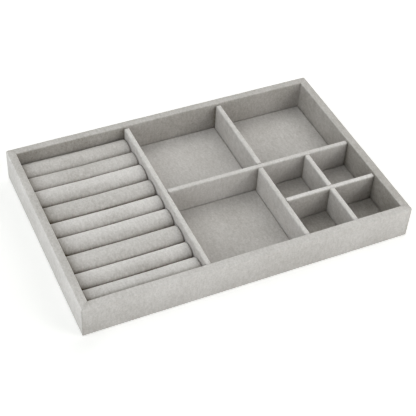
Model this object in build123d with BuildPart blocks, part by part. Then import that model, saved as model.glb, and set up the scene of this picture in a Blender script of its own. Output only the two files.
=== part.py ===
from build123d import *

import os
from dataclasses import dataclass

# A velvet-wrapped jewelry tray, in millimetres.
# X runs along the long side from left to right, Y from front to back and Z up.
# The origin is the centre of the face that the tray rests on.

# The whole tray
tray_length = 350.0
tray_depth = 231.0
tray_height = 36.5

# Sheet goods
velvet = 0.8                        # pile and backing together
wall_board_thickness = 7.4
base_board_thickness = 2.0
divider_board_thickness = 3.8
floor_card_thickness = 0.9
roll_card_thickness = 0.9
underside_thickness = 0.4

# Walls
wall_outer_radius = 0.6             # arris of the wall board at the top, outside
wall_inner_radius = 0.3             # arris of the wall board at the top, inside
rebate_depth = 3.6                  # how far the base board runs under the walls
mitre_seam = 0.2                    # gap left between two velvet strips at a corner
underside_inset = 2.5               # from the tray's edge to the sheet below it
underside_corner_radius = 4.0

# Dividers
divider_drop = 1.9                  # from the rim down to the tops of the dividers
divider_board_radius = 0.7          # top arris of a divider board
tenon_height = 14.0
tenon_depth = 1.2                   # how far a tenon enters the board of the divider it meets

# Compartments, measured inside the velvet
ring_section_length = 118.3         # left wall to long divider
back_middle_share = 0.505           # of the clear length from the long divider to the right wall
front_middle_share = 0.4955         # of the same, in front of the cross divider
back_row_share = 0.495             # of the clear depth from the front wall to the back wall
grid_left_share = 0.5075            # of the clear length of the small grid
grid_back_share = 0.5025            # of the clear depth of the small grid

# Ring rolls, from the back wall to the front wall
roll_height = 23.3
roll_crown_flat = 0.4               # half of the level strip along the crest
roll_foot_radius = 6.0
roll_end_radius = 2.0
roll_bevel_share = 0.6              # bevel of the foam's cut ends, of the rounding that they lie under
roll_seam_slit = 6.0                # between the two edges of a sleeve, under the roll
roll_width_shares = (1.01, 0.89, 1.08, 0.965, 0.925, 1.065, 1.04, 0.905, 1.12)
roll_height_shares = (0.96, 0.98, 1.03, 1.015, 0.96, 1.015, 1.015, 0.985, 1.04)

# Clearances
base_fit = 0.2                      # base board in its rebate
end_fit = 0.3                       # divider end to the face that it meets
joint_fit = 0.15                    # tenons and half laps
pad_fit = 0.5                       # floor pads and roll card to the faces round them
pad_radius = 1.0                    # top edge of a floor pad
roll_gap = 0.3                      # between two rolls, and from a roll to a wall
roll_end_gap = 0.3                  # from a roll's end to the face beside it
foam_fit = 0.3                      # foam inside its sleeve
overrun = 1.0                       # how far a cut runs past the face that it opens

# Levels
base_top = underside_thickness + base_board_thickness
floor_top = base_top + floor_card_thickness + velvet
roll_bed = base_top + roll_card_thickness
divider_top = tray_height - divider_drop
lap_level = (base_top + divider_top) / 2

# Faces of the well inside the four walls
wall_thickness = wall_board_thickness + 2 * velvet
well_right = tray_length / 2 - wall_thickness
well_left = -well_right
well_back = tray_depth / 2 - wall_thickness
well_front = -well_back

# Middle planes of the dividers
divider_thickness = divider_board_thickness + 2 * velvet
half_divider = divider_thickness / 2
long_x = well_left + ring_section_length + half_divider
clear_length = well_right - long_x - half_divider - divider_thickness
back_x = long_x + back_middle_share * clear_length + divider_thickness
front_x = long_x + front_middle_share * clear_length + divider_thickness
cross_y = well_back - back_row_share * (well_back - well_front - divider_thickness) - half_divider
grid_clear_length = well_right - front_x - half_divider - divider_thickness
column_x = front_x + grid_left_share * grid_clear_length + divider_thickness
grid_clear_depth = cross_y - half_divider - well_front - divider_thickness
row_y = cross_y - grid_back_share * grid_clear_depth - divider_thickness


@dataclass(frozen=True)
class Side:
    """One side of the outer frame, known by the way in from its outer face."""
    name: str
    inward: tuple
    length: float
    reach: float                    # from the tray's middle to the outer face

    def origin(self):
        return Vector(*self.inward) * -self.reach

    def section_plane(self):
        """Plane across the side: local X runs inwards and local Y up."""
        return Plane(self.origin(), x_dir=self.inward, z_dir=Vector(*self.inward).cross(Vector(0, 0, 1)))

    def plan_plane(self):
        """Level plane: local X runs inwards and local Y along the side."""
        return Plane(self.origin(), x_dir=self.inward, z_dir=(0, 0, 1))


@dataclass(frozen=True)
class Divider:
    """An upright strip along X or Y, between the two faces that it meets."""
    name: str
    along_x: bool
    across: float                   # its middle plane
    start: float
    end: float

    def plan(self, thickness, inset):
        """Plan rectangle (x0, x1, y0, y1), drawn in by the inset at both ends."""
        low, high = self.start + inset, self.end - inset
        near, far = self.across - thickness / 2, self.across + thickness / 2
        return (low, high, near, far) if self.along_x else (near, far, low, high)


@dataclass(frozen=True)
class Tee:
    """A divider's end that enters the side of another divider with a tenon."""
    guest: Divider
    host: Divider
    at_start: bool

    def tenon_plan(self, grown):
        """Plan rectangle of the tenon from its tip to well inside the guest's board."""
        tip = divider_board_thickness / 2 - tenon_depth
        root = end_fit + velvet + overrun
        if self.at_start:
            low, high = self.host.across + tip - grown, self.guest.start + root
        else:
            low, high = self.guest.end - root, self.host.across - tip + grown
        half = divider_board_thickness / 2 + grown
        near, far = self.guest.across - half, self.guest.across + half
        return (low, high, near, far) if self.guest.along_x else (near, far, low, high)


def block(plan, low, high):
    """Square-edged block over a plan rectangle (x0, x1, y0, y1), between two levels."""
    x0, x1, y0, y1 = plan
    with BuildPart() as solid:
        with BuildSketch(Plane.XY.offset(low)):
            with Locations(((x0 + x1) / 2, (y0 + y1) / 2)):
                Rectangle(x1 - x0, y1 - y0)
        extrude(amount=high - low)
    return solid.part


def crowned_block(plan, low, high, radius):
    """Block whose top edges are rounded all round."""
    solid_block = block(plan, low, high)
    with BuildPart() as solid:
        add(solid_block)
        fillet(solid.faces().sort_by(Axis.Z)[-1].edges(), radius)
    return solid.part


def keep(part, name):
    """Labels a finished piece and writes its file."""
    part.label = name
    export_step(part, f"parts/{name}.step")


os.makedirs("parts", exist_ok=True)

# Outer frame: a board and a strip of velvet on each side, both mitred at the ends
sides = [
    Side("front_wall", (0, 1, 0), tray_length, tray_depth / 2),
    Side("back_wall", (0, -1, 0), tray_length, tray_depth / 2),
    Side("left_wall", (1, 0, 0), tray_depth, tray_length / 2),
    Side("right_wall", (-1, 0, 0), tray_depth, tray_length / 2),
]
board_outside = velvet
board_inside = velvet + wall_board_thickness
board_foot = underside_thickness + velvet
board_top = tray_height - velvet
rebate_edge = board_inside - rebate_depth


def mitre_points(side, seam):
    """Corners of the side's plan, narrower by the seam, as (inwards, along)."""
    half = side.length / 2 - seam / 2
    inner = wall_thickness + overrun
    return [(0, -half), (inner, inner - half), (inner, half - inner), (0, half)]


for side in sides:
    with BuildPart() as wall_board:
        with BuildSketch(side.section_plane()) as wall_section:
            with BuildLine():
                Polyline((board_outside, board_foot), (rebate_edge, board_foot), (rebate_edge, base_top),
                         (board_inside, base_top), (board_inside, board_top), (board_outside, board_top),
                         close=True)
            make_face()
            top_corners = wall_section.vertices().group_by(Axis.Y)[-1].sort_by(Axis.X)
            fillet(top_corners[0], wall_outer_radius)
            fillet(top_corners[-1], wall_inner_radius)
        extrude(amount=side.length / 2, both=True)
        with BuildSketch(side.plan_plane()):
            with BuildLine():
                Polyline(mitre_points(side, 0), close=True)
            make_face()
        extrude(amount=tray_height, mode=Mode.INTERSECT)
    keep(wall_board.part, f"{side.name}_board")

    with BuildPart() as wall_velvet:
        with BuildSketch(side.section_plane()) as strip_section:
            with BuildLine():
                Polyline((0, underside_thickness), (rebate_edge, underside_thickness),
                         (rebate_edge, board_foot), (board_outside, board_foot),
                         (board_outside, board_top), (board_inside, board_top),
                         (board_inside, base_top), (wall_thickness, base_top),
                         (wall_thickness, tray_height), (0, tray_height), close=True)
            make_face()
            inner_corners = strip_section.vertices().group_by(Axis.Y)[-2].sort_by(Axis.X)
            fillet(inner_corners[0], wall_outer_radius)
            fillet(inner_corners[-1], wall_inner_radius)
            outer_corners = strip_section.vertices().group_by(Axis.Y)[-1].sort_by(Axis.X)
            fillet(outer_corners[0], wall_outer_radius + velvet)
            fillet(outer_corners[-1], wall_inner_radius + velvet)
        extrude(amount=side.length / 2, both=True)
        with BuildSketch(side.plan_plane()):
            with BuildLine():
                Polyline(mitre_points(side, mitre_seam), close=True)
            make_face()
        extrude(amount=tray_height, mode=Mode.INTERSECT)
    keep(wall_velvet.part, f"{side.name}_velvet")

# Base board in the rebate of the walls, and the sheet that covers it from below
base_half_length = tray_length / 2 - rebate_edge - base_fit
base_half_depth = tray_depth / 2 - rebate_edge - base_fit
keep(block((-base_half_length, base_half_length, -base_half_depth, base_half_depth),
           underside_thickness, base_top), "base_board")
with BuildPart() as underside_sheet:
    with BuildSketch():
        RectangleRounded(tray_length - 2 * underside_inset, tray_depth - 2 * underside_inset,
                         underside_corner_radius)
    extrude(amount=underside_thickness)
keep(underside_sheet.part, "underside_sheet")

# Dividers: boards that tenon into each other, and cross by a half lap in the small grid
long_divider = Divider("long_divider", False, long_x, well_front, well_back)
cross_divider = Divider("cross_divider", True, cross_y, long_x + half_divider, well_right)
back_divider = Divider("back_divider", False, back_x, cross_y + half_divider, well_back)
front_divider = Divider("front_divider", False, front_x, well_front, cross_y - half_divider)
row_divider = Divider("grid_row_divider", True, row_y, front_x + half_divider, well_right)
column_divider = Divider("grid_column_divider", False, column_x, well_front, cross_y - half_divider)
dividers = [long_divider, cross_divider, back_divider, front_divider, row_divider, column_divider]
tees = [
    Tee(cross_divider, long_divider, True),
    Tee(back_divider, cross_divider, True),
    Tee(front_divider, cross_divider, False),
    Tee(column_divider, cross_divider, False),
    Tee(row_divider, front_divider, True),
]
lap_width = divider_thickness + 2 * joint_fit
row_notch = block(column_divider.plan(lap_width, 0), base_top - overrun, lap_level)
column_notch = block(row_divider.plan(lap_width, 0), lap_level, tray_height)
notches = {row_divider.name: row_notch, column_divider.name: column_notch}

for divider in dividers:
    outside = crowned_block(divider.plan(divider_thickness, end_fit), base_top, divider_top,
                            divider_board_radius + velvet)
    inside = crowned_block(divider.plan(divider_board_thickness, end_fit + velvet), base_top,
                           divider_top - velvet, divider_board_radius)
    tenon_top = base_top + tenon_height
    tenons = [block(tee.tenon_plan(0), base_top, tenon_top) for tee in tees if tee.guest is divider]
    mortises = [block(tee.tenon_plan(joint_fit), base_top - overrun, tenon_top + joint_fit)
                for tee in tees if tee.host is divider]
    cuts = mortises + ([notches[divider.name]] if divider.name in notches else [])

    with BuildPart() as divider_board:
        add(inside)
        add(tenons)
        for cut in cuts:
            add(cut, mode=Mode.SUBTRACT)
    keep(divider_board.part, f"{divider.name}_board")

    with BuildPart() as divider_velvet:
        add(outside)
        add(inside, mode=Mode.SUBTRACT)
        for cut in tenons + cuts:
            add(cut, mode=Mode.SUBTRACT)
    keep(divider_velvet.part, f"{divider.name}_velvet")

# Floor pads: a card wrapped in velvet in each compartment
long_face = long_x + half_divider
front_face = front_x + half_divider
compartments = {
    "back_middle": (long_face, back_x - half_divider, cross_y + half_divider, well_back),
    "back_right": (back_x + half_divider, well_right, cross_y + half_divider, well_back),
    "front_middle": (long_face, front_x - half_divider, well_front, cross_y - half_divider),
    "grid_back_left": (front_face, column_x - half_divider, row_y + half_divider, cross_y - half_divider),
    "grid_back_right": (column_x + half_divider, well_right, row_y + half_divider, cross_y - half_divider),
    "grid_front_left": (front_face, column_x - half_divider, well_front, row_y - half_divider),
    "grid_front_right": (column_x + half_divider, well_right, well_front, row_y - half_divider),
}


def drawn_in(plan, inset):
    """The plan rectangle, smaller by the inset on every side."""
    x0, x1, y0, y1 = plan
    return (x0 + inset, x1 - inset, y0 + inset, y1 - inset)


for name, plan in compartments.items():
    card = block(drawn_in(plan, pad_fit + velvet), base_top, base_top + floor_card_thickness)
    keep(card, f"{name}_floor_card")
    cushion = crowned_block(drawn_in(plan, pad_fit), base_top, floor_top, pad_radius)
    with BuildPart() as floor_velvet:
        add(cushion)
        add(card, mode=Mode.SUBTRACT)
    keep(floor_velvet.part, f"{name}_floor_velvet")

# Ring rolls: foam cores in velvet sleeves, side by side on one card
ring_section = (well_left, long_x - half_divider, well_front, well_back)
keep(block(drawn_in(ring_section, pad_fit), base_top, roll_bed), "roll_card")


roll_start = ring_section[0] + roll_end_gap
roll_end = ring_section[1] - roll_end_gap


def roll_solid(middle, width, top, inset, foot):
    """Bolster along X, inset from its sleeve's outside: level foot, sides drawn in below, round crown.

    The sleeve's own ends are rounded, and what lies inside it is cut off square and bevelled.
    """
    with BuildPart() as roll:
        with BuildSketch(Plane.YZ.offset(roll_start + inset)) as section:
            with Locations((middle, (foot + top - inset) / 2)):
                Rectangle(width - 2 * inset, top - inset - foot)
            fillet(section.vertices().group_by(Axis.Y)[-1], width / 2 - roll_crown_flat - inset)
            fillet(section.vertices().group_by(Axis.Y)[0], roll_foot_radius - inset)
        extrude(amount=roll_end - roll_start - 2 * inset)
        end_edges = roll.faces().filter_by(Axis.X).edges()
        if inset > 0:
            chamfer(end_edges, roll_bevel_share * (roll_end_radius - inset))
        else:
            fillet(end_edges, roll_end_radius)
    return roll.part


share_sum = sum(roll_width_shares)
roll_room = well_back - well_front - roll_gap
slit_start = roll_start + roll_end_radius
slit_end = roll_end - roll_end_radius
back_edge = well_back - roll_gap
for index, (share, height_share) in enumerate(zip(roll_width_shares, roll_height_shares), start=1):
    pitch = roll_room * share / share_sum
    width = pitch - roll_gap
    top = roll_bed + roll_height * height_share
    middle = back_edge - width / 2
    back_edge -= pitch

    outside = roll_solid(middle, width, top, 0, roll_bed)
    hollow = roll_solid(middle, width, top, velvet, roll_bed + velvet)
    slit = block((slit_start, slit_end, middle - roll_seam_slit / 2, middle + roll_seam_slit / 2),
                 roll_bed - overrun, roll_bed + velvet + foam_fit)
    with BuildPart() as roll_velvet:
        add(outside)
        add(hollow, mode=Mode.SUBTRACT)
        add(slit, mode=Mode.SUBTRACT)
    keep(roll_velvet.part, f"ring_roll_{index}_velvet")
    keep(roll_solid(middle, width, top, velvet + foam_fit, roll_bed + velvet), f"ring_roll_{index}_foam")
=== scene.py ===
"""A velvet-wrapped jewelry tray with a bank of ring rolls, in metres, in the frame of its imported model.

The velvet, the padded rolls and every finish are made here. The boards, the cards and the sheet below keep
the shape that the frame gives them.
"""
import logging
import math
from collections.abc import Callable, Iterable
from dataclasses import dataclass, field
from enum import Enum

import bmesh
import bpy
from bmesh.types import BMEdge, BMesh, BMFace, BMVert
from bpy.types import Material, Node, NodeSocket, NodeTree, Object
from mathutils import Matrix, Vector, noise


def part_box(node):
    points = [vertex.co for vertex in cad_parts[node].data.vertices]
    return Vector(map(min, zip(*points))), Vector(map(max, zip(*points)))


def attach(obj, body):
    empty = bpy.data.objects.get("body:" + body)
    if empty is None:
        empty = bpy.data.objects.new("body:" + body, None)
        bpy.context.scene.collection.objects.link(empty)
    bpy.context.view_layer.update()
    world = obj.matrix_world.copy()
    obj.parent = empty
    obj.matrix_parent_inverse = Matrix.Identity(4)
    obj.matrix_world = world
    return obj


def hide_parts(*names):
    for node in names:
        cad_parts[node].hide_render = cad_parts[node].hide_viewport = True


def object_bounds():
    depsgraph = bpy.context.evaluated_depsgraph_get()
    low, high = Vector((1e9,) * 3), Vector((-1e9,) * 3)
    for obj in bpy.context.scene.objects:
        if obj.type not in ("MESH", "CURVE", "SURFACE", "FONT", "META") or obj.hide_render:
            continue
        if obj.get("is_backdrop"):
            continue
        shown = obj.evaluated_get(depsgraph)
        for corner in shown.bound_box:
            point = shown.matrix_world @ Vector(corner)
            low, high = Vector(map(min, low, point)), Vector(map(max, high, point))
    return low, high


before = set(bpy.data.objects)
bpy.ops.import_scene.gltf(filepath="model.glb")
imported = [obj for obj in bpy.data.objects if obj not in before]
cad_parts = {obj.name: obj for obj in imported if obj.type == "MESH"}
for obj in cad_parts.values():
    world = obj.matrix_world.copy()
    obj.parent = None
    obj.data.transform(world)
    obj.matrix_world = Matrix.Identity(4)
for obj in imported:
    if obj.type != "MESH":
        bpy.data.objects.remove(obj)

log = logging.getLogger("jewelry_tray")

MM = 0.001
NEAR = 0.01 * MM        # two places closer than this are the same
FINE = 0.0001 * MM      # the step to which places are rounded before a simulation
FACING = 0.7            # a face looks along a direction where its normal has this share of it
SQUARELY = 0.9          # and looks squarely along it with this share
BODY = "root"
PAINTED_SHADE_AND_TONE = "nap"             # attribute of a velvet piece: painted light and shade with a random tone, from 0, dark, to 1, light


class Axis(Enum):
    """The three directions of the frame."""
    X = (1.0, 0.0, 0.0)
    Y = (0.0, 1.0, 0.0)
    Z = (0.0, 0.0, 1.0)

    @property
    def way(self) -> Vector:
        """The direction as a vector."""
        return Vector(self.value)

    @property
    def index(self) -> int:
        """Which coordinate of a point it is."""
        return self.value.index(1.0)


class Side(Enum):
    """The four sides of the outer frame, by the way in from the outer face."""
    FRONT = (0.0, 1.0, 0.0)
    BACK = (0.0, -1.0, 0.0)
    LEFT = (1.0, 0.0, 0.0)
    RIGHT = (-1.0, 0.0, 0.0)

    @property
    def node(self) -> str:
        """Stem of the side's node names."""
        return f"{self.name.lower()}_wall"


class Slot(Enum):
    """Names of the two finishes, which rebuilt pieces are passed with."""
    VELVET = "velvet"
    FOAM = "foam"


@dataclass(frozen=True)
class Box:
    """An upright box between two corners."""
    low: Vector
    high: Vector

    @classmethod
    def of_node(cls, name: str) -> "Box":
        """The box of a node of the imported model."""
        return cls(*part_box(name))

    @property
    def size(self) -> Vector:
        """Length, depth and height."""
        return self.high - self.low

    @property
    def middle(self) -> Vector:
        """Its centre."""
        return (self.low + self.high) / 2

    def placed(self) -> Matrix:
        """The matrix that makes a unit cube fill the box."""
        return Matrix.Translation(self.middle) @ Matrix.Diagonal((*self.size, 1.0))

    def grown(self, by: float) -> "Box":
        """The box, larger on every side."""
        margin = Vector((by, by, by))
        return Box(self.low - margin, self.high + margin)

    def meets(self, other: "Box") -> "Box":
        """The space that two boxes share."""
        return Box(Vector(map(max, self.low, other.low)), Vector(map(min, self.high, other.high)))

    def between(self, axis: Axis, low: float, high: float) -> "Box":
        """The box with other ends along one axis.

        Args:
            axis: the axis that changes.
            low: the new lower end.
            high: the new higher end.

        Returns:
            The changed box.
        """
        start, end = self.low.copy(), self.high.copy()
        start[axis.index], end[axis.index] = low, high
        return Box(start, end)

    def holds(self, point: Vector) -> bool:
        """Whether a point lies in the box."""
        return all(low <= value <= high for low, value, high in zip(self.low, point, self.high))


def linear(hex_colour: str) -> tuple[float, float, float, float]:
    """Turns an sRGB hex colour into the linear red, green, blue and alpha that shaders take."""
    channels = [int(hex_colour[start:start + 2], 16) / 255 for start in (1, 3, 5)]
    return (*(c / 12.92 if c <= 0.04045 else ((c + 0.055) / 1.055) ** 2.4 for c in channels), 1.0)


def add_node(tree: NodeTree, kind: str, inputs: dict | None = None, **settings: object) -> Node:
    """Adds a node with its settings and links.

    Args:
        tree: the material's or the world's node tree.
        kind: the node's type.
        inputs: values by socket name or number. A socket is linked, and anything else is set.
        settings: the node's own properties.

    Returns:
        The new node.
    """
    added = tree.nodes.new(kind)
    for name, value in settings.items():
        setattr(added, name, value)
    for socket, value in (inputs or {}).items():
        if isinstance(value, NodeSocket):
            tree.links.new(value, added.inputs[socket])
        else:
            added.inputs[socket].default_value = value
    return added


def blank_material(name: str) -> tuple[Material, NodeTree, NodeSocket]:
    """Starts a material.

    Args:
        name: the material's name.

    Returns:
        The material, its empty node tree and the output's surface socket.
    """
    material = bpy.data.materials.new(name)
    material.use_nodes = True
    tree = material.node_tree
    tree.nodes.clear()
    return material, tree, add_node(tree, "ShaderNodeOutputMaterial").inputs["Surface"]


def seen_directly(tree: NodeTree) -> NodeSocket:
    """Adds the nodes that give 1 to what the camera sees, also in a gloss, and 0 to light on the tray."""
    ray = add_node(tree, "ShaderNodeLightPath")
    return add_node(tree, "ShaderNodeMath", {0: ray.outputs["Is Camera Ray"],
                                             1: ray.outputs["Is Glossy Ray"]}, operation="MAXIMUM").outputs[0]


def round_edges(bench: BMesh, edges: Iterable[BMEdge], radius: float, segments: int) -> None:
    """Rounds some of a mesh's edges.

    Args:
        bench: the mesh.
        edges: the edges.
        radius: how far each round reaches from its edge.
        segments: how many facets each round has.
    """
    bmesh.ops.bevel(bench, geom=list(edges), offset=radius, offset_type="OFFSET", segments=segments,
                    profile=0.5, affect="EDGES", clamp_overlap=True, material=-1)


def add_object(name: str, data: bpy.types.ID) -> Object:
    """Adds an object to the scene."""
    added = bpy.data.objects.new(name, data)
    bpy.context.scene.collection.objects.link(added)
    return added


def off_the_bench(name: str, bench: BMesh) -> Object:
    """Adds an object to the scene, made of a bench mesh.

    Args:
        name: the object's name.
        bench: its mesh, which is freed.

    Returns:
        The object.
    """
    mesh = bpy.data.meshes.new(name)
    bench.to_mesh(mesh)
    bench.free()
    return add_object(name, mesh)


def in_fixed_order(bench: BMesh) -> BMesh:
    """Rebuilds a mesh in the order of its places, because operators leave another order on each run.

    Args:
        bench: the mesh, which is freed.

    Returns:
        The same mesh, which a simulation fills in the same way each time.
    """
    bench.verts.index_update()
    places = [tuple(round(value / FINE) * FINE for value in vertex.co) for vertex in bench.verts]
    order = sorted(range(len(places)), key=places.__getitem__)
    rank = {old: new for new, old in enumerate(order)}
    rings = []
    for face in bench.faces:
        ring = [rank[vertex.index] for vertex in face.verts]
        first = ring.index(min(ring))
        rings.append(ring[first:] + ring[:first])
    bench.free()
    rebuilt = bmesh.new()
    corners = [rebuilt.verts.new(places[old]) for old in order]
    for ring in sorted(rings):
        rebuilt.faces.new([corners[new] for new in ring])
    return rebuilt


@dataclass(frozen=True)
class Velvet:
    """Short-pile velvet: polyester, woven, sheared and glued over board.

    The eye sees a soft matt surface without a gleam, paler where the pile is seen side on, mottled in patches
    where the pile leans one way or the other, and speckled by its tufts. Its colour runs from a dark to a
    light tone by an attribute that holds painted light and shade, with a tone that wanders at random.
    """
    name: str = "short_pile_velvet"
    # Tones at the two ends of the painted light and shade
    light_tone: str = "#DBD8D7"
    dark_tone: str = "#ACA8A4"
    sheen_tint: str = "#F1EFED"
    patch_size: float = 13 * MM
    streak_size: float = 2.6 * MM
    streak_stretch: tuple[float, float, float] = (1.0, 0.42, 0.50)      # drawn out along Y and Z
    tuft_size: float = 1.8 * MM     # a real tuft is about 0.3 mm, too fine to show
    patch_share: float = 0.22
    streak_share: float = 0.85
    tuft_share: float = 0.95
    pile_relief: float = 0.10 * MM
    sheen: float = 0.35
    sheen_roughness: float = 0.45
    roughness: float = 0.95
    specular: float = 0.15

    def material(self) -> Material:
        """Builds the node tree.

        Returns:
            The material.
        """
        material, tree, surface = blank_material(self.name)
        place = add_node(tree, "ShaderNodeTexCoord").outputs["Object"]
        patches = add_node(tree, "ShaderNodeTexNoise", {"Vector": place, "Scale": 1 / self.patch_size,
                                                        "Detail": 2.0, "Distortion": 0.5})
        drawn = add_node(tree, "ShaderNodeMapping", {"Vector": place, "Scale": self.streak_stretch})
        streaks = add_node(tree, "ShaderNodeTexNoise", {"Vector": drawn.outputs[0], "Detail": 3.0,
                                                        "Scale": 1 / self.streak_size, "Roughness": 0.65})
        tufts = add_node(tree, "ShaderNodeTexNoise", {"Vector": place, "Scale": 1 / self.tuft_size,
                                                      "Detail": 2.0, "Roughness": 0.7})
        # The attribute holds painted light and shade with a random tone; the grains add more random tone
        lightness = add_node(tree, "ShaderNodeAttribute", attribute_name=PAINTED_SHADE_AND_TONE).outputs["Fac"]
        for grain, share in ((patches, self.patch_share), (streaks, self.streak_share),
                             (tufts, self.tuft_share)):
            centred = add_node(tree, "ShaderNodeMath", {0: grain.outputs[0], 1: 0.5}, operation="SUBTRACT")
            lightness = add_node(tree, "ShaderNodeMath", {0: centred.outputs[0], 1: share, 2: lightness},
                            operation="MULTIPLY_ADD").outputs[0]
        tone = add_node(tree, "ShaderNodeMix", {0: lightness, 6: linear(self.dark_tone),
                                                7: linear(self.light_tone)}, data_type="RGBA",
                        clamp_factor=False)
        relief = add_node(tree, "ShaderNodeBump", {"Height": tufts.outputs[0], "Strength": 0.6,
                                                   "Distance": self.pile_relief})
        shader = add_node(tree, "ShaderNodeBsdfPrincipled", {
            "Base Color": tone.outputs[2], "Roughness": self.roughness, "Specular IOR Level": self.specular,
            "Sheen Weight": self.sheen, "Sheen Roughness": self.sheen_roughness,
            "Sheen Tint": linear(self.sheen_tint), "Normal": relief.outputs[0]})
        tree.links.new(shader.outputs[0], surface)
        return material


@dataclass(frozen=True)
class Speckled:
    """A matt material pressed or cast from small grains: board, card, paper or foam."""
    name: str
    ground: str
    fleck: str
    grain_size: float
    stretch: tuple[float, float, float] = (1.0, 1.0, 1.0)
    relief: float = 0.05 * MM
    roughness: float = 0.9
    specular: float = 0.3

    def material(self) -> Material:
        """Builds the node tree.

        Returns:
            The material.
        """
        material, tree, surface = blank_material(self.name)
        place = add_node(tree, "ShaderNodeTexCoord").outputs["Object"]
        drawn = add_node(tree, "ShaderNodeMapping", {"Vector": place, "Scale": self.stretch})
        grains = add_node(tree, "ShaderNodeTexNoise", {"Vector": drawn.outputs[0], "Detail": 4.0,
                                                       "Scale": 1 / self.grain_size, "Roughness": 0.7})
        cells = add_node(tree, "ShaderNodeTexVoronoi", {"Vector": drawn.outputs[0],
                                                        "Scale": 1 / self.grain_size})
        mixed = add_node(tree, "ShaderNodeMath", {0: grains.outputs[0], 1: cells.outputs[0]},
                         operation="MULTIPLY")
        tone = add_node(tree, "ShaderNodeMix", {0: mixed.outputs[0], 6: linear(self.ground),
                                                7: linear(self.fleck)}, data_type="RGBA")
        bumps = add_node(tree, "ShaderNodeBump", {"Height": cells.outputs[0], "Strength": 0.5,
                                                  "Distance": self.relief})
        shader = add_node(tree, "ShaderNodeBsdfPrincipled", {
            "Base Color": tone.outputs[2], "Roughness": self.roughness, "Specular IOR Level": self.specular,
            "Normal": bumps.outputs[0]})
        tree.links.new(shader.outputs[0], surface)
        return material


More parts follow.
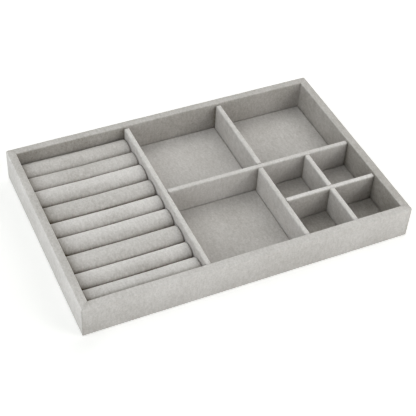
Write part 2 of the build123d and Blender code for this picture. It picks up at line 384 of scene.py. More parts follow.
@dataclass
class Skin:
    """A piece of velvet on the bench: an open shell that is cut, laid a little unevenly and thickened."""
    bench: BMesh
    thickness: float = 0.8 * MM
    cut_radius: float = 0.25 * MM       # fraying rounds a cut edge
    cut_facets: int = 2
    sharp: float = math.radians(50)     # an edge that turns more than this was cut
    unevenness: float = 0.12 * MM
    ripple: float = 24 * MM             # from one rise to the next
    tone_size: float = 38 * MM          # over which its random tone changes

    def divide(self, edges: Iterable[BMEdge], pitch: float) -> None:
        """Divides edges, and the quads between them, evenly.

        Args:
            edges: edges of about one length.
            pitch: length of the parts.
        """
        chosen = list(edges)
        longest = max(edge.calc_length() for edge in chosen)
        bmesh.ops.subdivide_edges(self.bench, edges=chosen, cuts=max(1, round(longest / pitch) - 1),
                                  use_grid_fill=True)

    def slice_up(self, axis: Axis, pitch: float) -> None:
        """Cuts the shell across one axis into even lengths.

        Args:
            axis: the axis that the cuts cross.
            pitch: length of the parts.
        """
        places = [vertex.co[axis.index] for vertex in self.bench.verts]
        start, end = min(places), max(places)
        count = max(2, round((end - start) / pitch))
        for step in range(1, count):
            self.bisect(axis.way * (start + (end - start) * step / count), axis.way, self.bench.faces[:])

    def bisect(self, point: Vector, way: Vector, faces: list[BMFace]) -> None:
        """Cuts some of the shell's faces along a plane.

        Args:
            point: a point of the plane.
            way: the plane's normal.
            faces: the faces to cut.
        """
        around = dict.fromkeys(edge for face in faces for edge in face.edges)
        corners = dict.fromkeys(vertex for face in faces for vertex in face.verts)
        bmesh.ops.bisect_plane(self.bench, geom=[*corners, *around, *faces], dist=NEAR, plane_co=point,
                               plane_no=way)

    def open_window(self, window: Box) -> None:
        """Cuts a box-shaped opening through the shell.

        Args:
            window: the space to clear.
        """
        for axis in Axis:
            for corner in (window.low, window.high):
                beside = [face for face in self.bench.faces if self.reaches(face, window)]
                if beside:
                    self.bisect(corner, axis.way, beside)
        cleared = [face for face in self.bench.faces if window.holds(face.calc_center_median())]
        bmesh.ops.delete(self.bench, geom=cleared, context="FACES")

    def reaches(self, face: BMFace, window: Box) -> bool:
        """Whether a face and a box share some of their span along every axis.

        Args:
            face: the face.
            window: the box.

        Returns:
            True if they do.
        """
        for axis in Axis:
            spans = [vertex.co[axis.index] for vertex in face.verts]
            if max(spans) < window.low[axis.index] or min(spans) > window.high[axis.index]:
                return False
        return True

    def unsettle(self, seed: float, freedom: Callable[[Vector], float]) -> None:
        """Lays the velvet a little unevenly, as glued cloth lies.

        Args:
            seed: sets this piece's own pattern.
            freedom: how much of the unevenness a place may have, from 0 to 1.
        """
        self.bench.normal_update()
        shift = Vector((seed, -seed, 2 * seed))
        for vertex in self.bench.verts:
            rise = noise.noise(vertex.co / self.ripple + shift)
            vertex.co += vertex.normal * (rise * self.unevenness * freedom(vertex.co))

    def draw_down(self, depth: Callable[[Vector], float]) -> None:
        """Presses the velvet in towards what it covers.

        Args:
            depth: how far a place is pressed in.
        """
        bmesh.ops.recalc_face_normals(self.bench, faces=self.bench.faces)
        self.bench.normal_update()
        for vertex in self.bench.verts:
            vertex.co -= vertex.normal * depth(vertex.co)

    def thicken(self) -> None:
        """Gives the shell its thickness, inwards from its faces."""
        bmesh.ops.recalc_face_normals(self.bench, faces=self.bench.faces)
        bmesh.ops.solidify(self.bench, geom=self.bench.faces[:], thickness=self.thickness)

    def cap_ends(self) -> None:
        """Closes the openings that a cut left in the thickened velvet."""
        open_edges = [edge for edge in self.bench.edges if edge.is_boundary]
        bmesh.ops.edgeloop_fill(self.bench, edges=open_edges)

    def round_cuts(self) -> None:
        """Rounds the cut edges."""
        bmesh.ops.recalc_face_normals(self.bench, faces=self.bench.faces)
        self.bench.normal_update()
        cut = [edge for edge in self.bench.edges if edge.calc_face_angle(0.0) > self.sharp]
        round_edges(self.bench, cut, self.cut_radius, self.cut_facets)

    def stroke(self, lightness: Callable[[Vector, Vector], float], seed: float, spread: float = 0.2) -> None:
        """Writes painted light and shade into the piece, with a tone that wanders at random.

        Args:
            lightness: gives the painted lightness, by the direction that a face looks along and its place.
            seed: sets this piece's own pattern.
            spread: how far the random tone wanders over the piece.
        """
        layer = self.bench.verts.layers.float.new(PAINTED_SHADE_AND_TONE)
        self.bench.normal_update()
        shift = Vector((2 * seed, seed, -seed))
        for vertex in self.bench.verts:
            wander = noise.noise(vertex.co / self.tone_size + shift)
            vertex[layer] = lightness(vertex.normal, vertex.co) + spread * wander

    def finish(self, name: str, material: Material, *nodes: str) -> Object:
        """Takes the velvet off the bench and dresses it, in place of one or more nodes."""
        return place_piece(name, self.bench, material, Slot.VELVET, *nodes)


@dataclass(frozen=True)
class Nap:
    """Painted light and shade round a long piece, from its near side over its top to its far side."""
    near: float
    near_slope: float                   # between the near side and the top
    top: float
    far_slope: float
    far: float
    focus: float = 6.0                  # how narrowly each value keeps to its own direction
    least: float = 0.05                 # what the share of a value counts as, away from its direction

    def at(self, way: Vector, nearwards: Vector, more: float = 0.0) -> float:
        """The painted lightness on a face.

        Args:
            way: the direction that the face looks along.
            nearwards: the level direction that the near side looks along.
            more: what is added to the near side's lightness.

        Returns:
            The lightness.
        """
        up = Axis.Z.way
        painted_lightness = ((nearwards, self.near + more), (nearwards + up, self.near_slope), (up, self.top),
                 (up - nearwards, self.far_slope), (-nearwards, self.far))
        shares = [max(self.least, way.dot(looking.normalized())) ** self.focus for looking, _ in painted_lightness]
        return sum(share * lightness for share, (_, lightness) in zip(shares, painted_lightness)) / sum(shares)


@dataclass(frozen=True)
class PaintedWallShade(Nap):
    """Painted light and shade round a wall, from its outside over its rim to its inside."""
    rise: float = 0.0                   # painted light, how much more at the rim than at the foot, outside
    shoulder: float = 0.0               # painted highlight, how much more on the rim, near its outer arris


@dataclass
class ShadedNook:
    """An upright inner corner, where painted shade darkens the two faces that meet."""
    post: str                           # what stands to its right
    wall: str                           # what stands behind it
    behind: float                       # how much painted shade darkens the face behind it
    beside: float                       # and on the face to its right
    behind_over: float = 5.0 * MM       # over what length that fades
    beside_over: float = 3.0 * MM
    top_over: float = 4.0 * MM
    reach: float = 1.5 * MM             # how far off the two faces may lie
    corner: Vector = field(init=False)

    def __post_init__(self) -> None:
        """Finds the top of the corner."""
        post, wall = (Box.of_node(f"{name}_velvet") for name in (self.post, self.wall))
        self.corner = Vector((post.low.x, wall.low.y, min(post.high.z, wall.high.z)))

    def at(self, way: Vector, place: Vector) -> float:
        """How much painted shade darkens a place.

        Args:
            way: the direction that the face looks along.
            place: the place in the frame.

        Returns:
            The painted shade, as a loss of lightness.
        """
        off = self.corner - place
        share = min(1.0, max(0.0, off.z / self.top_over))
        if way.y < -FACING and abs(off.y) < self.reach and off.x > -2 * self.reach:
            return share * self.behind * math.exp(-abs(off.x) / self.behind_over)
        if way.x < -FACING and abs(off.x) < self.reach and off.y > -2 * self.reach:
            return share * self.beside * math.exp(-abs(off.y) / self.beside_over)
        return 0.0


# Painted shade in the tray's inner corners
SHADED_NOOKS = (
    ShadedNook("long_divider", "back_wall", 0.55, 0.20), ShadedNook("back_divider", "back_wall", 0.80, 0.20),
    ShadedNook("right_wall", "back_wall", 0.00, -0.10), ShadedNook("front_divider", "cross_divider", 0.75, 0.50),
    ShadedNook("grid_column_divider", "cross_divider", 0.60, 0.45), ShadedNook("right_wall", "cross_divider", 0.45, 0.40),
    ShadedNook("grid_column_divider", "grid_row_divider", 0.70, 0.00),
    ShadedNook("right_wall", "grid_row_divider", 0.45, 0.10))


def painted_shade_in_nooks(way: Vector, place: Vector) -> float:
    """How much painted shade the inner corners put on a place, on a face that looks along a direction."""
    return sum(nook.at(way, place) for nook in SHADED_NOOKS)


def place_piece(name: str, bench: BMesh, material: Material, slot: Slot, *nodes: str) -> Object:
    """Makes an object of a bench mesh, in place of one or more nodes.

    Args:
        name: the piece's name.
        bench: its mesh, which is freed.
        material: its finish.
        slot: not used.
        nodes: the nodes that it stands for.

    Returns:
        The new object.
    """
    bmesh.ops.recalc_face_normals(bench, faces=bench.faces)
    piece = off_the_bench(name, bench)
    piece.data.shade_smooth()
    piece.data.materials.append(material)
    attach(piece, BODY)
    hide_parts(*nodes)
    log.info("%s: %d faces", name, len(piece.data.polygons))
    return piece


def dress_nodes(names: Iterable[str], material: Material) -> None:
    """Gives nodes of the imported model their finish.

    Args:
        names: the nodes.
        material: their finish.
    """
    for name in names:
        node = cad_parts[name]
        node.data.materials.clear()
        node.data.materials.append(material)
        log.info("%s: dressed as %s", name, material.name)


def named(ending: str) -> list[str]:
    """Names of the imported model's nodes with an ending, in order."""
    return sorted(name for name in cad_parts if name.endswith(ending))


@dataclass(frozen=True)
class Corner:
    """An upright outer corner of the frame, where two strips meet on a mitre."""
    radius: float = 1.8 * MM
    crease: float = 0.2 * MM            # how far the strips are drawn down into the mitre
    end_shade: float = 0.0                # painted shade on the front strip there
    end_shade_over: float = 1.0 * MM


@dataclass
class Strip:
    """The velvet of one wall, which meets the next walls' on mitres.

    It is turned in below the foot, runs up the outside, over the rounded top and down the inside. On the
    bench it lies along Y, with X inwards from its outer face.
    """
    side: Side
    tray: Box                           # the whole tray, with its sharp corners
    wall_shades: dict[Side, PaintedWallShade]
    corners: dict[frozenset[Side], Corner]
    shaded_inside: tuple[str, Axis, float] | None       # a divider, an axis and the inside's painted lightness before it
    turn_in: float = 4.6 * MM
    foot_radius: float = 0.8 * MM
    outer_radius: float = 1.4 * MM
    inner_radius: float = 1.1 * MM
    facets: tuple[int, int, int] = (3, 5, 5)        # of those three rounds
    corner_cuts: tuple[float, ...] = (0.29, 0.5, 0.75, 1.0)     # across an upright round, in its radius
    seam: float = 0.02 * MM             # from an end to the mitre
    crease_width: float = 1.2 * MM      # beside a mitre, over which the strip is drawn down into it
    pitch: float = 2.5 * MM
    still_edge: float = 8.0 * MM        # beside a mitre and above the foot the strip lies still
    blend: float = 7.0 * MM             # beside a mitre, over which two strips' tops grow alike
    space: Box = field(init=False)
    along: Vector = field(init=False)
    half_length: float = field(init=False)
    width: float = field(init=False)
    inside_foot: float = field(init=False)
    off_bench: Matrix = field(init=False)           # from the bench to its place

    def __post_init__(self) -> None:
        """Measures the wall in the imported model."""
        inward = Vector(self.side.value)
        self.along = Axis.Z.way.cross(inward)
        self.space = Box.of_node(f"{self.side.node}_velvet")
        self.half_length = (self.tray.size / 2).dot(Vector(map(abs, self.along))) - self.seam
        self.width = abs(self.space.size.dot(inward))
        self.inside_foot = Box.of_node("base_board").high.z
        outer_face = Vector((self.space.middle.x, self.space.middle.y, 0)) - inward * (self.width / 2)
        self.off_bench = (Matrix.Translation(outer_face)
                          @ Matrix((inward, self.along, Axis.Z.way)).transposed().to_4x4())

    def build(self, velvet: Material, seed: float) -> Object:
        """Makes the strip and sets it in its place.

        Args:
            velvet: its finish.
            seed: sets its unevenness.

        Returns:
            The strip.
        """
        skin = self.lay_out()
        self.round_corners(skin)
        skin.unsettle(seed, self.freedom)
        skin.thicken()
        self.cut_mitres(skin)
        skin.draw_down(self.crease)
        skin.cap_ends()
        skin.round_cuts()
        skin.stroke(self.lightness, seed)
        bmesh.ops.transform(skin.bench, matrix=self.off_bench, verts=skin.bench.verts)
        piece = skin.finish(f"{self.side.node}_pile", velvet, f"{self.side.node}_velvet")
        return piece

    def lay_out(self) -> Skin:
        """Draws the strip's section out along the bench and rounds its arrises.

        Returns:
            The strip, with square ends.
        """
        foot, rim = self.space.low.z, self.space.high.z
        section = [(self.turn_in, foot), (0.0, foot), (0.0, rim), (self.width, rim),
                   (self.width, self.inside_foot)]
        skin = Skin(bmesh.new())
        bends = [skin.bench.verts.new((x, -self.half_length, z)) for x, z in section]
        outline = [skin.bench.edges.new(pair) for pair in zip(bends, bends[1:])]
        skin.divide((edge for edge in outline if edge.calc_length() > 2 * self.width), self.pitch)
        drawn = bmesh.ops.extrude_edge_only(skin.bench, edges=skin.bench.edges[:])["geom"]
        bmesh.ops.translate(skin.bench, vec=Axis.Y.way * (2 * self.half_length),
                            verts=[item for item in drawn if isinstance(item, BMVert)])
        radii = (self.foot_radius, self.outer_radius, self.inner_radius)
        for (x, z), radius, facets in zip(section[1:4], radii, self.facets):
            arris = [edge for edge in skin.bench.edges
                     if all(abs(end.co.x - x) + abs(end.co.z - z) < NEAR for end in edge.verts)]
            round_edges(skin.bench, arris, radius, facets)
        skin.divide((edge for edge in skin.bench.edges if edge.calc_length() > self.half_length), self.pitch)
        return skin

    def round_corners(self, skin: Skin) -> None:
        """Rounds the two upright corners of the strip.

        Args:
            skin: the strip, which isn't mitred yet.
        """
        for end in (-1, 1):
            for share in self.corner_cuts:
                radius = self.corner(Axis.Y.way * end).radius
                place = Axis.Y.way * (end * (self.half_length - share * radius))
                skin.bisect(place, Axis.Y.way, skin.bench.faces[:])
        for vertex in skin.bench.verts:
            radius = self.corner(vertex.co).radius
            from_corner = max(0.0, self.half_length - abs(vertex.co.y))
            if from_corner < radius and vertex.co.x < 2 * radius:
                drawn_in = radius - math.sqrt(radius ** 2 - (radius - from_corner) ** 2)
                vertex.co.x += drawn_in * (1 - max(0.0, vertex.co.x) / (2 * radius))

    def cut_mitres(self, skin: Skin) -> None:
        """Cuts both ends off on their mitres, after two cuts beside each for its crease.

        Args:
            skin: the strip with square ends.
        """
        for end in (-1, 1):
            for back in (self.crease_width, self.crease_width / 2, 0.0):
                bmesh.ops.bisect_plane(
                    skin.bench, geom=[*skin.bench.verts, *skin.bench.edges, *skin.bench.faces], dist=NEAR,
                    plane_co=(0, end * (self.half_length - back), 0), plane_no=(1, end, 0),
                    clear_outer=back == 0.0)

    def beside(self, point: Vector) -> Side:
        """The side that the nearer end meets."""
        return Side(tuple(-self.along * math.copysign(1.0, point.y)))

    def corner(self, point: Vector) -> Corner:
        """The nearer of the strip's two corners."""
        return self.corners.get(frozenset((self.side, self.beside(point))), Corner())

    def to_mitre(self, point: Vector) -> float:
        """How far along the strip the nearer mitre lies."""
        return self.half_length - abs(point.y) - point.x

    def freedom(self, point: Vector) -> float:
        """How uneven the strip lies: not at all at a mitre or on the turn-in, and fully a little way off."""
        to_foot = point.z - self.space.low.z
        return min(1.0, max(0.0, self.to_mitre(point)) / self.still_edge, to_foot / self.still_edge)

    def opened(self, point: Vector) -> float:
        """How far a mitre shows: all of it on the uprights, and on the rim towards the inside."""
        return (point.x / self.width) ** 3 if point.z > self.space.high.z - self.outer_radius else 1.0

    def crease(self, point: Vector) -> float:
        """How far the strip is drawn down beside a mitre, but for its inside and its turn-in.

        Args:
            point: a place of the strip on the bench.

        Returns:
            The depth.
        """
        share = self.to_mitre(point) / self.crease_width
        hem = 2 * Skin.thickness
        if share > 1 or point.z < self.space.low.z + hem or point.x > self.width - hem:
            return 0.0
        return self.corner(point).crease * self.opened(point) * (1 - share) ** 2

    def lightness(self, way: Vector, place: Vector) -> float:
        """How light the strip is painted at a place on the bench: painted light and shade by the way a face
        looks, with painted shade in nooks, at the front corners and before dividers, and painted highlight on
        the rim.

        Args:
            way: the direction that the face looks along.
            place: the place.

        Returns:
            The lightness.
        """
        # Painted shade in nooks, before dividers and at the front corners; painted light on the rims
        in_frame = self.off_bench @ place
        loss = painted_shade_in_nooks(self.off_bench.to_3x3() @ way, in_frame)
        if self.shaded_inside and way.x > SQUARELY:
            divider, axis, before = self.shaded_inside
            if in_frame[axis.index] < Box.of_node(divider).middle[axis.index]:
                return before - loss
        from_mitre, met = max(0.0, self.to_mitre(place)), self.corner(place)
        if self.side is Side.FRONT:
            loss += met.end_shade * self.opened(place) * math.exp(-from_mitre / met.end_shade_over)
        nap = self.wall_shades[self.side]
        above = ((self.wall_shades[self.beside(place)].top - nap.top) / 2 * math.exp(-from_mitre / self.blend)
                 + nap.shoulder * math.exp(-max(0.0, place.x) / MM))
        lightness = nap.at(way, -Axis.X.way, nap.rise * (place.z / self.space.high.z - 0.5))
        return lightness + above * max(0.0, way.z) ** 2 - loss


@dataclass
class OuterFrame:
    """Four mitred walls, each a board under one strip of velvet."""
    velvet: Material
    board: Material
    # Painted light and shade on each wall: lighter outside and on the rims, darker inside
    wall_shades: dict[Side, PaintedWallShade] = field(default_factory=lambda: {
        Side.FRONT: PaintedWallShade(0.65, 0.76, 0.80, 1.30, 0.45, rise=0.35),
        Side.BACK: PaintedWallShade(0.70, 0.42, 0.60, 0.20, 0.12),
        Side.LEFT: PaintedWallShade(0.83, 1.26, 0.32, 1.10, 0.45, rise=0.30, shoulder=0.55),
        Side.RIGHT: PaintedWallShade(0.70, 0.35, 0.43, 0.43, -0.10)})
    # Each corner's round, its crease and the painted shade on its front strip
    corners: dict[frozenset[Side], Corner] = field(default_factory=lambda: {
        frozenset((Side.FRONT, Side.LEFT)): Corner(0.9 * MM, 0.3 * MM, 0.85, 0.9 * MM),
        frozenset((Side.FRONT, Side.RIGHT)): Corner(2.3 * MM, 0.05 * MM, 0.35, 4.0 * MM)})
    # Walls whose inside has other painted shade before a divider's place along an axis
    shaded_inside: dict[Side, tuple[str, Axis, float]] = field(default_factory=lambda: {
        Side.BACK: ("long_divider_velvet", Axis.X, -0.07),
        Side.RIGHT: ("cross_divider_velvet", Axis.Y, -0.18)})

    def build(self) -> None:
        """Makes the four strips and dresses the four boards."""
        tray = Box(*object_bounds())
        for seed, side in enumerate(Side):
            strip = Strip(side, tray, self.wall_shades, self.corners, self.shaded_inside.get(side))
            strip.build(self.velvet, float(seed))
        dress_nodes(named("_wall_board"), self.board)


@dataclass
class WrappedBoard:
    """An upright or level board wrapped in velvet on all sides but its foot."""
    name: str
    velvet: Material
    top_radius: float
    corner_radius: float
    pitch: float
    still_edge: float
    nap: Nap
    end_shade: float = 0.0                # painted shade at its ends, where they meet other boards
    end_shade_over: float = 0.7 * MM
    top_facets: int = 6
    corner_facets: int = 3

    def build(self, windows: Iterable[Box], seed: float) -> Object:
        """Makes the velvet.

        Args:
            windows: openings for joints.
            seed: sets its unevenness.

        Returns:
            The velvet's piece.
        """
        space = Box.of_node(f"{self.name}_velvet")
        along, across = (Axis.X, Axis.Y) if space.size.x > space.size.y else (Axis.Y, Axis.X)
        skin = self.shell(space)
        for window in windows:
            skin.open_window(window)

        def from_end(point: Vector) -> float:
            """How far the nearer end is."""
            return space.size[along.index] / 2 - abs(point[along.index] - space.middle[along.index])

        def freedom(point: Vector) -> float:
            """None at the foot and the ends, and all of it a little way off."""
            return min(1.0, max(0.0, from_end(point)) / self.still_edge,
                       (point.z - space.low.z) / self.still_edge)

        def lightness(way: Vector, place: Vector) -> float:
            """The painted lightness at a place, less painted shade at its ends and in the nooks."""
            at_end = self.end_shade * math.exp(-max(0.0, from_end(place)) / self.end_shade_over)
            return self.nap.at(way, -across.way) - at_end - painted_shade_in_nooks(way, place)

        skin.unsettle(seed, freedom)
        skin.thicken()
        skin.round_cuts()
        skin.stroke(lightness, seed)
        piece = skin.finish(f"{self.name}_pile", self.velvet, f"{self.name}_velvet")
        return piece

    def shell(self, space: Box) -> Skin:
        """Makes the rounded shell of a box, open below.

        Args:
            space: the box.

        Returns:
            The shell, sliced up.
        """
        skin = Skin(bmesh.new())
        bmesh.ops.create_cube(skin.bench, size=1.0, matrix=space.placed())
        below = [face for face in skin.bench.faces if face.calc_center_median().z < space.low.z + NEAR]
        bmesh.ops.delete(skin.bench, geom=below, context="FACES_ONLY")
        rims = [edge for edge in skin.bench.edges if all(end.co.z > space.middle.z for end in edge.verts)]
        round_edges(skin.bench, rims, self.top_radius, self.top_facets)
        uprights = [edge for edge in skin.bench.edges if self.is_upright(edge, space)]
        round_edges(skin.bench, uprights, self.corner_radius, self.corner_facets)
        for axis in Axis:
            if space.size[axis.index] > 2 * self.pitch:
                skin.slice_up(axis, self.pitch)
        return skin

    def is_upright(self, edge: BMEdge, space: Box) -> bool:
        """Whether an edge is one of the box's four corners."""
        low, high = sorted(end.co.z for end in edge.verts)
        return low < space.low.z + NEAR and high - low > NEAR


@dataclass
class Dividers:
    """Six upright boards in velvet, tenoned into each other, with one half lap in the small grid."""
    velvet: Material
    board: Material
    tenon_height: float = 14.0 * MM
    joint_fit: float = 0.15 * MM
    overrun: float = 1.0 * MM
    top_radius: float = 1.5 * MM
    corner_radius: float = 1.3 * MM
    pitch: float = 2.5 * MM
    still_edge: float = 6.0 * MM
    tees: tuple[tuple[str, str], ...] = (
        ("cross_divider", "long_divider"), ("back_divider", "cross_divider"),
        ("front_divider", "cross_divider"), ("grid_column_divider", "cross_divider"),
        ("grid_row_divider", "front_divider"))
    lap: tuple[str, str] = ("grid_row_divider", "grid_column_divider")
    arris_highlight_near: float = 0.86             # painted highlight on the arris nearer to the front or the left
    # painted highlight on the far arris
    arris_highlight_far: float = 1.75
    end_shade: float = 1.2                # painted shade at both ends, where they meet other boards
    # Painted lightness on each divider's top and on its sides: painted light on tops, painted shade on sides
    painted_lightness: dict[str, tuple[float, float]] = field(default_factory=lambda: {
        "long_divider": (1.00, 0.55), "cross_divider": (0.95, 0.56), "back_divider": (0.95, 0.38),
        "front_divider": (0.93, 0.57), "grid_column_divider": (1.06, 0.34), "grid_row_divider": (1.27, 0.25)})

    def build(self) -> None:
        """Makes the six skins and dresses the six boards."""
        for seed, node in enumerate(named("_divider_velvet"), start=10):
            name = node.removesuffix("_velvet")
            top, sides = self.painted_lightness[name]
            nap = Nap(sides, self.arris_highlight_near, top, self.arris_highlight_far, sides)
            wrapped = WrappedBoard(name, self.velvet, self.top_radius, self.corner_radius, self.pitch,
                                   self.still_edge, nap, self.end_shade)
            wrapped.build(self.windows(name), float(seed))
        dress_nodes(named("_divider_board"), self.board)

    def windows(self, name: str) -> list[Box]:
        """The openings in one divider's velvet.

        Args:
            name: the divider.

        Returns:
            Boxes round the tenons that enter or leave it, and round its half lap.
        """
        found = []
        for guest, host in self.tees:
            tenon = self.tenon(guest, host)
            if name == host:
                found.append(tenon.grown(self.joint_fit))
            if name == guest:
                found.append(tenon)
        if name in self.lap:
            found.append(self.notch(name))
        return found

    def tenon(self, guest: str, host: str) -> Box:
        """The space of a tenon, from its tip to well inside its own divider's velvet.

        Args:
            guest: the divider that carries the tenon.
            host: the divider that it enters.

        Returns:
            Its box, open below.
        """
        board = Box.of_node(f"{guest}_board")
        velvet = Box.of_node(f"{guest}_velvet")
        beside = Box.of_node(f"{host}_velvet").grown(2 * self.overrun)
        shared = board.meets(beside).meets(velvet.grown(2 * self.overrun))
        return shared.between(Axis.Z, board.low.z - self.overrun, board.low.z + self.tenon_height)

    def notch(self, name: str) -> Box:
        """The half lap's opening, below in the first divider of the lap and above in the second.

        Args:
            name: the divider.

        Returns:
            The space to clear.
        """
        row, column = (Box.of_node(f"{other}_velvet") for other in self.lap)
        half_way = row.middle.z
        crossing = row.meets(column).grown(self.joint_fit)
        if name == self.lap[0]:
            return crossing.between(Axis.Z, row.low.z - self.overrun, half_way)
        return crossing.between(Axis.Z, half_way, row.high.z + self.overrun)


@dataclass
class FloorPads:
    """A card wrapped in velvet on the floor of each compartment."""
    velvet: Material
    card: Material
    top_radius: float = 1.0 * MM
    corner_radius: float = 1.4 * MM
    pitch: float = 4.0 * MM
    still_edge: float = 0.6 * MM
    # Painted lightness of each pad: painted shade in the small grid's cells, painted light in the large ones
    painted_lightness: dict[str, float] = field(default_factory=lambda: {
        "back_middle": 0.68, "back_right": 0.61, "front_middle": 0.53, "grid_back_left": 0.12,
        "grid_back_right": 0.30, "grid_front_left": -0.06, "grid_front_right": -0.06})

    def build(self) -> None:
        """Makes the seven skins and dresses the cards."""
        for seed, node in enumerate(named("_floor_velvet"), start=30):
            name = node.removesuffix("_velvet")
            lightness = self.painted_lightness[name.removesuffix("_floor")]
            pad = WrappedBoard(name, self.velvet, self.top_radius, self.corner_radius, self.pitch,
                               self.still_edge, Nap(lightness, lightness, lightness, lightness, lightness))
            pad.build((), float(seed))
        dress_nodes([*named("_floor_card"), "roll_card"], self.card)


@dataclass
class RingRoll:
    """One padded roll: a foam core in a velvet sleeve, glued down on its flat foot."""
    name: str
    velvet: Material
    foam: Material
    brushed: float                      # how far its pile was brushed up from the front: its own tone, and stronger painted light and shade
    crown_flat: float = 0.4 * MM
    crown_share: float = 0.66           # height of its crown, as a share of a half round's
    crown_facets: int = 13              # of a quarter round of the sleeve's crown
    core_facets: int = 8                # and of the core's
    end_facets: int = 3
    foot_radius: float = 6.0 * MM
    end_radius: float = 1.6 * MM
    core_fit: float = 0.3 * MM
    core_bevel: float = 0.6 * MM
    slit: float = 6.0 * MM
    slack: float = 0.5 * MM             # how much smaller the sleeve is before it is filled
    pitch: float = 2.4 * MM
    pressure: float = 4.0
    frames: int = 20
    smoothing: float = 0.3
    # Painted lightness on its front, on its crest and on its back, with the slopes between them: painted
    # shade in front, painted light on the crest and back
    painted_lightness: tuple[float, ...] = (-0.35, 0.54, 0.70, 0.88, 0.90)
    brushed_shade: tuple[float, ...] = (-0.25, -0.05, 0.25, 0.50, 0.50)    # what brushing adds to them, deepening the painted shade in front and the painted light behind
    end_shade: tuple[float, float] = (0.82, 0.36)     # painted shade at its left and its right end, by the left wall and the long divider
    end_shade_over: float = 3.5 * MM
    contact_shade: tuple[float, float] = (0.80, 0.6 * MM)    # painted shade between two rolls, and over what
    front_wall_shadow: tuple[float, float] = (0.60, 8.5 * MM)      # painted shadow beside the front wall, and how far from it

    def build(self, seed: float) -> Object:
        """Makes the sleeve and its core.

        Args:
            seed: sets its unevenness.

        Returns:
            The sleeve.
        """
        space = Box.of_node(f"{self.name}_velvet")
        sleeve = self.sleeve(space, seed)
        self.core(space)
        return sleeve

    def bolster(self, space: Box, inset: float, end_radius: float, segments: int) -> BMesh:
        """Makes a bolster along X: level foot, drawn-in lower sides and a round crown.

        Args:
            space: the box that it fills.
            inset: how much smaller its rounds are than the sleeve's outside.
            end_radius: rounding of its two ends.
            segments: facets of its crown's quarter round.

        Returns:
            Its closed mesh.
        """
        bench = bmesh.new()
        bmesh.ops.create_cube(bench, size=1.0, matrix=space.placed())
        for above, radius, steps in ((True, space.size.y / 2 - self.crown_flat, segments),
                                     (False, self.foot_radius - inset, segments // 2)):
            level = space.high.z if above else space.low.z
            long_edges = [edge for edge in bench.edges if edge.calc_length() > space.size.x - NEAR
                          and abs(edge.verts[0].co.z - level) < NEAR]
            round_edges(bench, long_edges, radius, steps)
        crown = space.size.y / 2 - self.crown_flat
        for vertex in bench.verts:
            from_crest = space.high.z - vertex.co.z
            if from_crest < crown + NEAR:
                vertex.co.z = space.high.z - from_crest * self.crown_share
        ends = [face for face in bench.faces if abs(face.normal.x) > SQUARELY]
        rims = dict.fromkeys(edge for face in ends for edge in face.edges)
        round_edges(bench, rims, end_radius, self.end_facets)
        return bench

    def sleeve(self, space: Box, seed: float) -> Object:
        """Fills a slack sleeve by cloth simulation and gives it its thickness.

        Args:
            space: the box that the filled roll takes.
            seed: sets its unevenness.

        Returns:
            The sleeve's piece.
        """
        slack = Vector((self.slack, self.slack, self.slack))
        limp = Box(space.low + slack * Vector((1, 1, 0)), space.high - slack)
        skin = Skin(self.bolster(limp, self.slack, self.end_radius, self.crown_facets))
        skin.divide((edge for edge in skin.bench.edges if edge.calc_length() > space.size.x / 2), self.pitch)
        for cap in [face for face in skin.bench.faces if len(face.verts) > 4]:
            bmesh.ops.inset_region(skin.bench, faces=[cap], thickness=self.pitch / 2, use_even_offset=True)
            bmesh.ops.poke(skin.bench, faces=[cap])
        skin.bench = self.inflate(skin.bench, space)
        bmesh.ops.smooth_vert(skin.bench, verts=skin.bench.verts[:], factor=self.smoothing,
                              use_axis_x=True, use_axis_y=True, use_axis_z=True)
        middle = space.middle
        skin.open_window(Box(Vector((space.low.x + self.end_radius, middle.y - self.slit / 2,
                                     space.low.z - self.slack)),
                             Vector((space.high.x - self.end_radius, middle.y + self.slit / 2,
                                     space.low.z + self.slack))))
        skin.unsettle(seed, lambda point: min(1.0, (point.z - space.low.z) / self.foot_radius))
        skin.thicken()
        skin.round_cuts()
        skin.stroke(self.lightness_by_place(space), seed)
        piece = skin.finish(f"{self.name}_sleeve", self.velvet, f"{self.name}_velvet")
        return piece

    def lightness_by_place(self, space: Box) -> Callable[[Vector, Vector], float]:
        """How light a sleeve is painted: painted light and shade by the way a face looks, with painted shade
        at its ends, between rolls and beside the front wall.

        Args:
            space: the box that the filled roll takes.

        Returns:
            A function that gives the lightness by a face's direction and its place.
        """
        nap = Nap(*(lightness + self.brushed * more for lightness, more in zip(self.painted_lightness, self.brushed_shade)))
        fade = self.end_shade_over
        at_wall = space.low.y < Box.of_node("front_wall_velvet").high.y + self.slack

        def lightness(way: Vector, place: Vector) -> float:
            """The painted lightness at a place of the sleeve."""
            left = self.end_shade[0] * math.exp(-(place.x - space.low.x - fade) / fade)
            right = self.end_shade[1] * math.exp(-(space.high.x - place.x) / fade)
            beside = min(place.y - space.low.y, space.high.y - place.y)
            loss = min(1.0, left) + min(1.0, right)
            loss += self.contact_shade[0] * math.exp(-max(0.0, beside) / self.contact_shade[1])
            if at_wall:
                by, reach = self.front_wall_shadow
                loss += by * math.exp(-max(0.0, place.y - space.low.y - reach) / MM)
            return nap.at(way, -Axis.Y.way) - loss

        return lightness

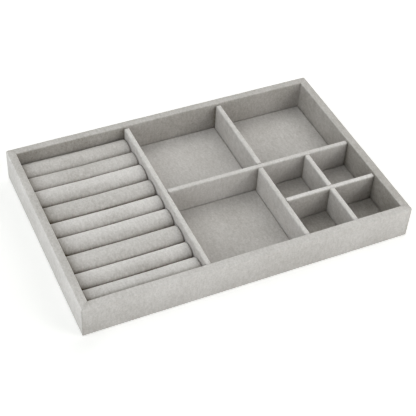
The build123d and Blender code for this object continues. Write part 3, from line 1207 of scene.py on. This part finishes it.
    def inflate(self, bench: BMesh, space: Box) -> BMesh:
        """Presses the slack sleeve outwards against its neighbours, with its foot held down.

        Args:
            bench: the slack sleeve, which is freed.
            space: the box that the filled roll takes.

        Returns:
            The filled sleeve.
        """
        limp = off_the_bench("limp_sleeve", in_fixed_order(bench))
        held = limp.vertex_groups.new(name="held")
        foot = [vertex.index for vertex in limp.data.vertices if vertex.co.z < space.low.z + self.slack]
        held.add(foot, 1.0, "REPLACE")
        cloth = limp.modifiers.new("filling", "CLOTH")
        cloth.settings.use_pressure = True
        cloth.settings.uniform_pressure_force = self.pressure
        cloth.settings.vertex_group_mass = held.name
        cloth.settings.effector_weights.gravity = 0.0
        cloth.point_cache.frame_end = self.frames
        scene = bpy.context.scene
        for step in range(1, self.frames + 1):
            scene.frame_set(step)
        graph = bpy.context.evaluated_depsgraph_get()
        filled = bmesh.new()
        filled.from_mesh(limp.evaluated_get(graph).to_mesh())
        scene.frame_set(1)
        bpy.data.objects.remove(limp)
        for vertex in filled.verts:
            vertex.co = Vector(map(min, space.high, map(max, space.low, vertex.co)))
        return filled

    def core(self, space: Box) -> Object:
        """Makes the foam core, cut off square inside the sleeve and bevelled.

        Args:
            space: the box that the filled roll takes.

        Returns:
            The core's piece.
        """
        inset = Skin.thickness + self.core_fit + self.slack
        gap = Vector((inset, inset, inset))
        inner = Box(space.low + gap, space.high - gap)
        bench = self.bolster(inner, inset, self.core_bevel, self.core_facets)
        piece = place_piece(f"{self.name}_core", bench, self.foam, Slot.FOAM, f"{self.name}_foam")
        return piece


@dataclass
class RingRolls:
    """Nine padded rolls side by side, which hold rings between them."""
    velvet: Material
    foam: Material
    brushed: tuple[float, ...] = (0.0, -0.15, 1.3, 0.2, 1.2, 1.4, 0.4, 1.25, 0.8)

    def build(self) -> None:
        """Makes the rolls, from the back wall to the front wall."""
        for seed, (node, brushed) in enumerate(zip(named("_foam"), self.brushed), start=51):
            RingRoll(node.removesuffix("_foam"), self.velvet, self.foam, brushed).build(float(seed))


@dataclass(frozen=True)
class Softbox:
    """A square soft lamp that faces the tray."""
    name: str
    azimuth: float                      # degrees, 0 in front and 90 to the right
    elevation: float
    level: float                        # light on a surface that faces it, where 1 shows a colour as written
    distance: float = 1.6
    width: float = 0.9
    colour: str = "#FFFFFA"

    def hang(self) -> Object:
        """Puts the lamp in the scene.

        Returns:
            The lamp.
        """
        lamp = bpy.data.lights.new(self.name, "AREA")
        lamp.size = self.width
        lamp.color = linear(self.colour)[:3]
        lamp.energy = self.level * (math.pi * self.distance) ** 2
        hung = add_object(self.name, lamp)
        way = direction(self.azimuth, self.elevation)
        hung.location = way * self.distance
        hung.rotation_euler = way.to_track_quat("Z", "Y").to_euler()
        return hung


def direction(azimuth: float, elevation: float) -> Vector:
    """The way from the tray to a place round it, in degrees: 0 in front, 90 to the right or straight up."""
    turn, rise = math.radians(azimuth), math.radians(elevation)
    return Vector((math.sin(turn) * math.cos(rise), -math.cos(turn) * math.cos(rise), math.sin(rise)))


@dataclass(frozen=True)
class Viewpoint:
    """Where the photograph was taken from."""
    azimuth: float = -27.300
    elevation: float = 44.398
    tilt: float = 3.987
    distance: float = 1092.1 * MM
    target: tuple[float, float, float] = (1.715 * MM, -5.228 * MM, 0.0)
    sensor: float = 36.0
    lens: float = 91.178

    def place(self) -> Object:
        """Sets up the camera.

        Returns:
            The camera.
        """
        settings = bpy.data.cameras.new("camera")
        settings.sensor_width = self.sensor
        settings.lens = self.lens
        camera = add_object("camera", settings)
        back = direction(self.azimuth, self.elevation)
        camera.location = Vector(self.target) + back * self.distance
        level = back.to_track_quat("Z", "Y").to_matrix()
        camera.rotation_euler = (level @ Matrix.Rotation(math.radians(self.tilt), 3, "Z")).to_euler()
        bpy.context.scene.camera = camera
        return camera


@dataclass
class Studio:
    """A white floor under soft lamps. The room shows white to the eye and gives no light."""
    floor_size: float = 8.0
    floor_colour: str = "#F4F4F4"
    seen_glow: tuple[float, float] = (0.285, 0.42)  # for the eye alone: left of the tray, lower for a painted shadow there, and elsewhere
    glow_over: tuple[float, float] = (-200 * MM, -135 * MM)
    clear_from: tuple[float, float] = (0.28, 0.70)  # from the tray, where the floor turns plain white
    room_colour: str = "#FFFFFF"
    lamps: tuple[Softbox, ...] = (
        Softbox("low_right", 45.0, 15.0, 0.229),
        Softbox("right", 45.0, 35.0, 0.297),
        Softbox("behind_right", 135.0, 55.0, 0.215),
        Softbox("behind", 180.0, 55.0, 0.192),
        Softbox("behind_left", 225.0, 15.0, 0.166, colour="#FCFFFD"),
        Softbox("left", 270.0, 35.0, 0.122, colour="#FCFFFD"),
        Softbox("high_left", 270.0, 55.0, 0.212, colour="#FCFFFD"),
        Softbox("low_left", 315.0, 15.0, 0.276, colour="#FCFFFD"),
    )

    def build(self) -> None:
        """Lays the floor, whitens the room, hangs the lamps and places the camera."""
        self.lay_floor()
        self.whiten_room()
        for lamp in self.lamps:
            lamp.hang()
        Viewpoint().place()
        bpy.context.scene.view_settings.view_transform = "Standard"

    def lay_floor(self) -> None:
        """Lays the floor, which keeps the tray's shadow and shows white to the eye, with a painted shadow
        left of the tray.
        """
        bench = bmesh.new()
        bmesh.ops.create_grid(bench, x_segments=1, y_segments=1, size=self.floor_size / 2)
        floor = off_the_bench("floor", bench)
        material, tree, surface = blank_material("floor_paper")
        paper = add_node(tree, "ShaderNodeBsdfDiffuse", {"Color": linear(self.floor_colour)})
        place = add_node(tree, "ShaderNodeTexCoord").outputs["Object"]
        apart = add_node(tree, "ShaderNodeSeparateXYZ", {0: place})
        # Less glow left of the tray: a painted shadow there
        level = add_node(tree, "ShaderNodeMapRange", {
            0: apart.outputs[0], 1: self.glow_over[0], 2: self.glow_over[1], 3: self.seen_glow[0],
            4: self.seen_glow[1]}, interpolation_type="SMOOTHSTEP")
        away = add_node(tree, "ShaderNodeVectorMath", {0: place}, operation="LENGTH")
        clear = add_node(tree, "ShaderNodeMapRange", {0: away.outputs["Value"], 1: self.clear_from[0],
                                                      2: self.clear_from[1]})
        total = add_node(tree, "ShaderNodeMath", {0: level.outputs[0], 1: clear.outputs[0]})
        glow = add_node(tree, "ShaderNodeMath", {0: seen_directly(tree), 1: total.outputs[0]},
                        operation="MULTIPLY")
        white = add_node(tree, "ShaderNodeEmission", {"Strength": glow.outputs[0]})
        both = add_node(tree, "ShaderNodeAddShader", {0: paper.outputs[0], 1: white.outputs[0]})
        tree.links.new(both.outputs[0], surface)
        floor.data.materials.append(material)
        floor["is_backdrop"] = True

    def whiten_room(self) -> None:
        """Shows the room white behind the tray."""
        world = bpy.data.worlds.new("room")
        world.use_nodes = True
        tree = world.node_tree
        tree.nodes.clear()
        light = add_node(tree, "ShaderNodeBackground", {"Color": linear(self.room_colour),
                                                        "Strength": seen_directly(tree)})
        add_node(tree, "ShaderNodeOutputWorld", {"Surface": light.outputs[0]})
        bpy.context.scene.world = world


def main() -> None:
    """Builds the tray and its studio, and reports each piece."""
    logging.basicConfig(level=logging.INFO, format="%(message)s")
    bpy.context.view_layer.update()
    velvet = Velvet().material()
    # Medium-density fibreboard, sanded: a dull brown felt of short wood fibres
    fibreboard = Speckled("fibreboard", "#A98A63", "#7F6443", 0.9 * MM).material()
    # Greyboard pressed from waste paper: dull grey with paler and darker flecks
    greyboard = Speckled("greyboard", "#9C9A95", "#7D7B77", 0.7 * MM).material()
    # Polyurethane foam, cut from a block: off-white, dull, with fine open cells
    foam = Speckled("polyurethane_foam", "#E4E0D6", "#BDB8AC", 0.8 * MM, relief=0.2 * MM).material()
    # Uncoated paper with short fibres, drawn a little along its length
    paper = Speckled("lining_paper", "#B4B1AB", "#9E9B95", 0.6 * MM, stretch=(0.6, 1.0, 1.0)).material()

    OuterFrame(velvet, fibreboard).build()
    dress_nodes(["base_board"], fibreboard)
    dress_nodes(["underside_sheet"], paper)
    Dividers(velvet, fibreboard).build()
    FloorPads(velvet, greyboard).build()
    RingRolls(velvet, foam).build()
    Studio().build()


if __name__ == "__main__":
    main()
